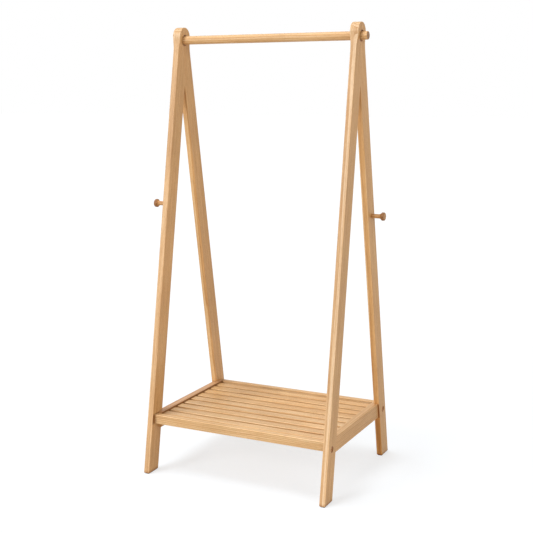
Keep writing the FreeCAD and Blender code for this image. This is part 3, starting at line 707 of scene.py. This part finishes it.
def makePad(name, node):
    low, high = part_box(node)
    piece = addBlock(name, high - low, (low + high) / 2)
    bpy.ops.object.mode_set(mode="EDIT")
    pick("edges", lambda edge: riseOf(edge) > (high.z - low.z) / 2)
    bpy.ops.mesh.bevel(offset=pad["cornerRound"], segments=pad["cornerSegments"])
    pick("edges", lambda edge: riseOf(edge) < micron)
    bpy.ops.mesh.bevel(offset=pad["edgeRound"], segments=pad["edgeSegments"])
    pick("faces", lambda face: abs(face.normal.z) > squareOn)
    bpy.ops.mesh.inset(thickness=pad["edgeRound"])
    bpy.ops.mesh.select_all(action="SELECT")
    bpy.ops.mesh.quads_convert_to_tris()
    bpy.ops.mesh.subdivide(number_cuts=pad["matCuts"])
    bpy.ops.object.mode_set(mode="OBJECT")
    mat = bpy.data.textures.new("feltMat", "CLOUDS")
    mat.noise_scale = pad["matScale"]
    # the wool only sinks in, so the pad keeps its cut size
    applyModifier(piece, "DISPLACE", texture=mat, texture_coords="LOCAL",
                  strength=pad["matDepth"], mid_level=1.0)
    return piece


frontLow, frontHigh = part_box("left_front_pad")
padSpan = -(frontLow.x + frontHigh.x)
leftPad = makePad("pad_left_front", "left_front_pad")
rightPad = copyPiece(leftPad, "pad_right_front", shift=(padSpan, 0.0, 0.0))
pads = {
    "left_front_pad": leftPad,
    "right_front_pad": rightPad,
    "right_rear_pad": copyPiece(leftPad, "pad_right_rear", halfTurn=True),
    "left_rear_pad": copyPiece(rightPad, "pad_left_rear", halfTurn=True),
}
for node, piece in pads.items():
    finishPiece(piece, feltFinish, node)
print("pads", [len(piece.data.polygons) for piece in pads.values()])

# a white studio: the lens sees a bright floor and backdrop, and the wood is lit by a warmer room
studio = {
    "floorSize": 60.0,
    "floorColour": (0.76, 0.83, 0.91, 1.0),
    "floorRoughness": 0.9,
    "bounceColour": (0.60, 0.54, 0.47, 1.0),
    "glowShare": 0.56,
    "glowStrength": 1.18,
    "skyColour": (1.0, 0.92, 0.82, 1.0),
    "skyStrength": 0.36,
    "backColour": (1.0, 1.0, 1.0, 1.0),
    "backStrength": 1.0,
}


def seenRay(tree):
    path = addNode(tree, "ShaderNodeLightPath").outputs
    shown = addMath(tree, "MAXIMUM", path["Is Camera Ray"], path["Is Glossy Ray"])
    return addMath(tree, "MAXIMUM", shown, path["Is Transmission Ray"])


bpy.ops.object.select_all(action="DESELECT")
bpy.ops.mesh.primitive_plane_add(size=studio["floorSize"], location=(0.0, 0.0, 0.0))
floor = bpy.context.object
floor.name = "studioFloor"
floorFinish, floorTree, floorShader = newFinish("studio_floor")
floorLook = addMix(floorTree, "MIX", seenRay(floorTree), studio["bounceColour"], studio["floorColour"])
floorTree.links.new(floorLook, floorShader.inputs["Base Color"])
floorShader.inputs["Roughness"].default_value = studio["floorRoughness"]
floorShader.inputs["Specular IOR Level"].default_value = 0.0
glow = addNode(floorTree, "ShaderNodeEmission", {"Strength": studio["glowStrength"]})
share = addMath(floorTree, "MULTIPLY", seenRay(floorTree), studio["glowShare"])
floorParts = {0: share, 1: floorShader.outputs[0], 2: glow.outputs[0]}
floorMix = addNode(floorTree, "ShaderNodeMixShader", floorParts)
floorOut = [n for n in floorTree.nodes if n.type == "OUTPUT_MATERIAL"][0]
floorTree.links.new(floorMix.outputs[0], floorOut.inputs["Surface"])
floor.data.materials.append(floorFinish)

world = bpy.data.worlds.new("studioWorld")
scene.world = world
world.use_nodes = True
worldTree = world.node_tree
worldTree.nodes.clear()
sky = addNode(worldTree, "ShaderNodeBackground",
              {"Color": studio["skyColour"], "Strength": studio["skyStrength"]}).outputs[0]
back = addNode(worldTree, "ShaderNodeBackground",
               {"Color": studio["backColour"], "Strength": studio["backStrength"]}).outputs[0]
worldMix = addNode(worldTree, "ShaderNodeMixShader", {0: seenRay(worldTree), 1: sky, 2: back})
addNode(worldTree, "ShaderNodeOutputWorld", {"Surface": worldMix.outputs[0]})

lamps = {
    "topLamp": {"towards": (-0.22, -0.10, 0.97), "strength": 1.65, "angle": 30},
    "frontLamp": {"towards": (-0.41, -0.83, 0.38), "strength": 1.45, "angle": 25},
    "fillLamp": {"towards": (0.86, -0.38, 0.34), "strength": 0.75, "angle": 40},
}
for name, lamp in lamps.items():
    data = bpy.data.lights.new(name, "SUN")
    data.energy = lamp["strength"]
    data.angle = math.radians(lamp["angle"])
    light = bpy.data.objects.new(name, data)
    scene.collection.objects.link(light)
    light.rotation_mode = "QUATERNION"
    light.rotation_quaternion = Vector(lamp["towards"]).to_track_quat("Z", "Y")

# camera, from lines measured in the photograph
shot = {
    "place": (1.5151, -2.9963, 1.2753),
    "turn": 26.874,
    "down": 8.1045,
    "roll": -0.4443,
    "lens": 70.08,
    "sensor": 36.0,
    "shift": (0.0, -0.0722),
}
cameraData = bpy.data.cameras.new("photoCamera")
cameraData.lens = shot["lens"]
cameraData.sensor_width = shot["sensor"]
cameraData.shift_x, cameraData.shift_y = shot["shift"]
camera = bpy.data.objects.new("photoCamera", cameraData)
scene.collection.objects.link(camera)
camera.location = shot["place"]
camera.rotation_euler = (Matrix.Rotation(math.radians(shot["turn"]), 3, "Z")
                         @ Matrix.Rotation(math.radians(90 - shot["down"]), 3, "X")
                         @ Matrix.Rotation(math.radians(shot["roll"]), 3, "Z")).to_euler()
scene.camera = camera
scene.view_settings.view_transform = "Standard"
print("stage, lamps and camera set")
